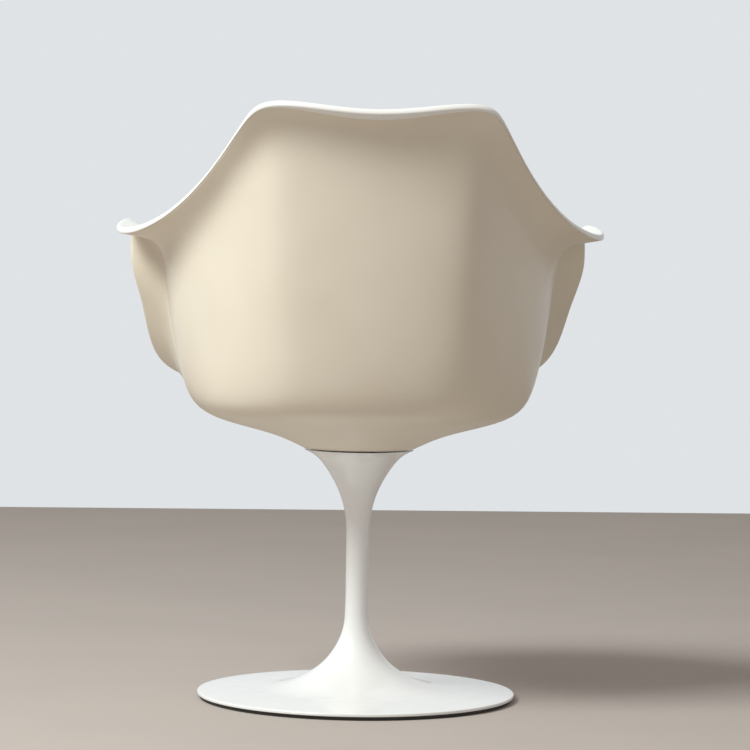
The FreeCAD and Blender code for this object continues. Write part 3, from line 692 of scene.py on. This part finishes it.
def seamPull(piece):
    # Draws the cover in under the welt and gathers it a little, as a sewn seam does.
    c = cushion
    mesh = piece.data
    spots = vertexSpots(mesh)
    inCore = np.column_stack([np.clip(spots[:, 0], -c["coreWidth"], c["coreWidth"]),
                              np.clip(spots[:, 1], -c["coreFront"], c["coreBack"])])
    away = spots[:, :2] - inCore
    radius = np.linalg.norm(away, axis=1)
    turn = np.arctan2(spots[:, 1], spots[:, 0])
    height = spots[:, 2] - c["seam"]
    near = np.exp(-(height / c["puckerReach"]) ** 2)
    inner = c["puckerInner"] * c["radius"]
    near *= np.clip((radius - inner) / (c["radius"] - inner), 0, 1)
    wave = sum(share * np.sin(turn * count + start) for count, start, share in c["puckers"])
    tight = np.exp(-(height / c["tuckReach"]) ** 2)
    change = near * wave * c["puckerDepth"] - tight * near * c["tuckDepth"]
    spots[:, :2] += away / np.maximum(radius, 1e-6)[:, None] * change[:, None]
    mesh.vertices.foreach_set("co", spots.ravel())
    mesh.update()


def makeCushion():
    c = cushion
    columns = c["columns"]
    sections = cushionRadii()
    points = [planPoint(radius - c["shrink"], column / columns, height)
              for radius, height in sections for column in range(columns)]
    faces = rowFaces(len(sections), columns)
    faces.append(tuple(reversed(range(columns))))
    last = (len(sections) - 1) * columns
    faces.append(tuple(range(last, last + columns)))
    piece = newPiece("seatCushion", points, faces, ["cushionWool"], "seat")
    inflate(piece)
    seamPull(piece)
    smoother = piece.modifiers.new("smooth", "SUBSURF")
    smoother.levels = smoother.render_levels = 1
    mesh = evaluated(piece)
    piece.modifiers.clear()
    takeShape(piece, mesh)
    piece.data.shade_smooth()
    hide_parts("cushion_foam", "cushion_top_cover", "cushion_bottom_cover")


def makeWelt():
    radius = cushion["radius"]
    sides = [-2 * math.pi * side / welt["sides"] for side in range(welt["sides"])]
    points = []
    for column in range(welt["columns"]):
        turn = column / welt["columns"]
        before, after = [Vector(planPoint(radius, (turn + step) % 1, 0))
                         for step in (-welt["lookAhead"], welt["lookAhead"])]
        ahead = after - before
        side = Vector((ahead.y, -ahead.x, 0)).normalized()
        centre = Vector(planPoint(radius, turn, cushion["seam"])) + side * welt["out"]
        swell = sum(share * math.sin(turn * count + start)
                    for count, start, share in welt["uneven"])
        pulled = welt["radius"] * (1 + swell)
        points += [centre + side * (pulled * math.cos(angle))
                   + Vector((0, 0, pulled * math.sin(angle))) for angle in sides]
    faces = rowFaces(welt["columns"], welt["sides"], True)
    piece = newPiece("cushionPiping", points, faces, ["pipingWool"], "seat")
    piece.data.shade_smooth()
    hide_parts("cushion_welt")


makeCushion()
makeWelt()
print("cushion made")


# Parts that keep their CAD shape
keptFinishes = {
    "acetalBush": ("upper_bush", "lower_bush", "roller_cage"),
    "groundSteel": ("lower_race", "upper_race", "needle_rollers", "swivel_spindle"),
    "castAluminium": ("seat_hub",),
    "zincSteel": ("spindle_pin", "retaining_washer", "retaining_screw", "stiffening_plate",
                  "shell_screws"),
    "hookPad": ("hook_pads", "loop_pads"),
}
for finishName, names in keptFinishes.items():
    for name in names:
        mesh = nodes[name].data
        mesh.materials.clear()
        mesh.materials.append(finishes[finishName])


# Floor, light and camera
stage = {
    "floorSize": 6.2, "floorLight": (0.49, 0.435, 0.395), "floorDark": (0.44, 0.39, 0.355),
    "floorGrain": (3, 3), "floorRough": 0.85,
    "wall": (0.74, 0.77, 0.79), "daylight": 0.36, "daylightColour": (1, 0.93, 0.88),
}
lamps = [
    # name, place, aim, size, watts, colour
    ("windowLight", (2.35, 1.5, 3.3), (0, 0, 0.45), 1.6, 176, (0.95, 1, 0.98)),
    ("fillLight", (-2.6, 2.8, 1.2), (0, 0, 0.5), 2.0, 3, (1, 0.97, 0.94)),
]
view = {
    "place": (0.2839, 4.3908, 0.634), "aim": (-0.0208, 0, 0.4510), "roll": 0.85,
    "lens": 151.92, "sensor": 36,
}


def makeFloor():
    half = stage["floorSize"] / 2
    mesh = bpy.data.meshes.new("floor")
    corners = [(-half, -half, 0), (half, -half, 0), (half, half, 0), (-half, half, 0)]
    mesh.from_pydata(corners, [], [(0, 1, 2, 3)])
    finish, shader = newFinish("paleFloor", Roughness=stage["floorRough"])
    clouds = grain(finish, *stage["floorGrain"])
    colourBy(finish, shader, clouds, stage["floorLight"], stage["floorDark"])
    mesh.materials.append(finish)
    floor = bpy.data.objects.new("floor", mesh)
    bpy.context.collection.objects.link(floor)


def makeSky():
    sky = bpy.data.worlds.new("studio")
    bpy.context.scene.world = sky
    sky.use_nodes = True
    tree = sky.node_tree
    soft = tree.nodes["Background"]
    soft.inputs["Color"].default_value = (*stage["daylightColour"], 1)
    soft.inputs["Strength"].default_value = stage["daylight"]
    seen = tree.nodes.new("ShaderNodeBackground")
    seen.inputs["Color"].default_value = (*stage["wall"], 1)
    rays = tree.nodes.new("ShaderNodeLightPath")
    either = None
    for ray in ("Is Camera Ray", "Is Glossy Ray", "Is Transmission Ray"):
        if either is None:
            either = rays.outputs[ray]
            continue
        larger = tree.nodes.new("ShaderNodeMath")
        larger.operation = "MAXIMUM"
        tree.links.new(either, larger.inputs[0])
        tree.links.new(rays.outputs[ray], larger.inputs[1])
        either = larger.outputs["Value"]
    choice = tree.nodes.new("ShaderNodeMixShader")
    tree.links.new(either, choice.inputs["Fac"])
    tree.links.new(soft.outputs["Background"], choice.inputs[1])
    tree.links.new(seen.outputs["Background"], choice.inputs[2])
    tree.links.new(choice.outputs["Shader"], tree.nodes["World Output"].inputs["Surface"])


def makeLamps():
    for name, spot, aim, size, watts, colour in lamps:
        data = bpy.data.lights.new(name, "AREA")
        data.energy = watts
        data.size = size
        data.color = colour
        lamp = bpy.data.objects.new(name, data)
        lamp.location = spot
        lamp.rotation_mode = "QUATERNION"
        lamp.rotation_quaternion = (Vector(aim) - Vector(spot)).to_track_quat("-Z", "Y")
        bpy.context.collection.objects.link(lamp)


def makeCamera():
    data = bpy.data.cameras.new("backCamera")
    data.lens = view["lens"]
    data.sensor_width = view["sensor"]
    camera = bpy.data.objects.new("backCamera", data)
    spot = Vector(view["place"])
    facing = (Vector(view["aim"]) - spot).to_track_quat("-Z", "Y").to_matrix()
    facing = facing @ Matrix.Rotation(math.radians(view["roll"]), 3, "Z")
    camera.matrix_world = Matrix.Translation(spot) @ facing.to_4x4()
    bpy.context.collection.objects.link(camera)
    bpy.context.scene.camera = camera


makeFloor()
makeSky()
makeLamps()
makeCamera()
bpy.context.scene.view_settings.view_transform = "Standard"
print("stage set")
